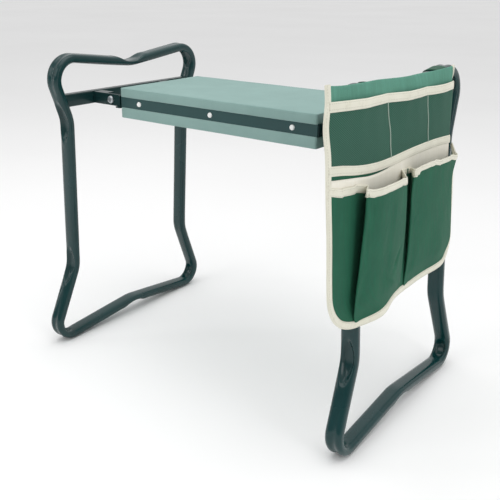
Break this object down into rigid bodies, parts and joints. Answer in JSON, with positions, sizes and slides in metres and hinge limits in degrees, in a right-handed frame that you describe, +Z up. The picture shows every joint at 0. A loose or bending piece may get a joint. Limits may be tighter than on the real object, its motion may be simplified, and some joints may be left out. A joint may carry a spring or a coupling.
{
  "type": "folding garden kneeler seat",
  "caption": "Folding garden bench and kneeler: foam-padded seat between two hourglass tube end frames that hinge under it, with a pocketed tool bag on one frame.",
  "frame": {"origin": "on the floor under the middle of the overall box; the seat's middle is 10.2 mm towards -X and 18.7 mm towards +Y of it, because the tool bag stands out at the +X end and the front", "axes": "+X along the seat towards the frame that carries the tool bag, +Y to the rear, +Z up"},
  "size_m": [0.5874, 0.4026, 0.4902],
  "materials": {
    "foam": "matte",
    "board": "matte",
    "white_rivet": "satin",
    "rail_paint": "satin",
    "frame_paint": "gloss",
    "tube_paint": "gloss",
    "zinc": "satin",
    "nylon": "matte",
    "beige_binding": "matte",
    "mesh_fabric": "matte",
    "strap_fabric": "matte",
    "bag_fabric": "matte"
  },
  "bodies": {
    "seat": {"front_rail": "rail_paint", "left_end_channel": "frame_paint", "lower_pad": "foam", "rail_rivets": "white_rivet", "rear_rail": "rail_paint", "right_end_channel": "frame_paint", "seat_board": "board", "upper_pad": "foam"},
    "left_frame": {"left_crossbar": "frame_paint", "left_frame_tube": "tube_paint", "left_front_hinge_bracket": "frame_paint", "left_pivot_bolts": "zinc", "left_pivot_nuts": "zinc", "left_pivot_spacers": "nylon", "left_rear_hinge_bracket": "frame_paint"},
    "right_frame": {"bag_back_panel": "bag_fabric", "bag_edge_binding": "beige_binding", "bag_far_pocket": "bag_fabric", "bag_far_pocket_tape": "beige_binding", "bag_handle_straps": "strap_fabric", "bag_lining": "beige_binding", "bag_mesh_pocket": "mesh_fabric", "bag_mesh_tape": "beige_binding", "bag_middle_tape": "beige_binding", "bag_near_pocket": "bag_fabric", "bag_near_pocket_tape": "beige_binding", "right_crossbar": "frame_paint", "right_frame_tube": "tube_paint", "right_front_hinge_bracket": "frame_paint", "right_pivot_bolts": "zinc", "right_pivot_nuts": "zinc", "right_pivot_spacers": "nylon", "right_rear_hinge_bracket": "frame_paint"}
  },
  "joints": [
    {"name": "left_frame_fold", "type": "hinge", "parent": "seat", "child": "left_frame", "pos_m": [-0.21284, 0.01866, 0.41638], "axis": [0, -1, 0], "range_deg": [0, 93]},
    {"name": "right_frame_fold", "type": "hinge", "parent": "seat", "child": "right_frame", "pos_m": [0.20716, 0.01866, 0.41638], "axis": [0, 1, 0], "range_deg": [0, 42]}
  ]
}
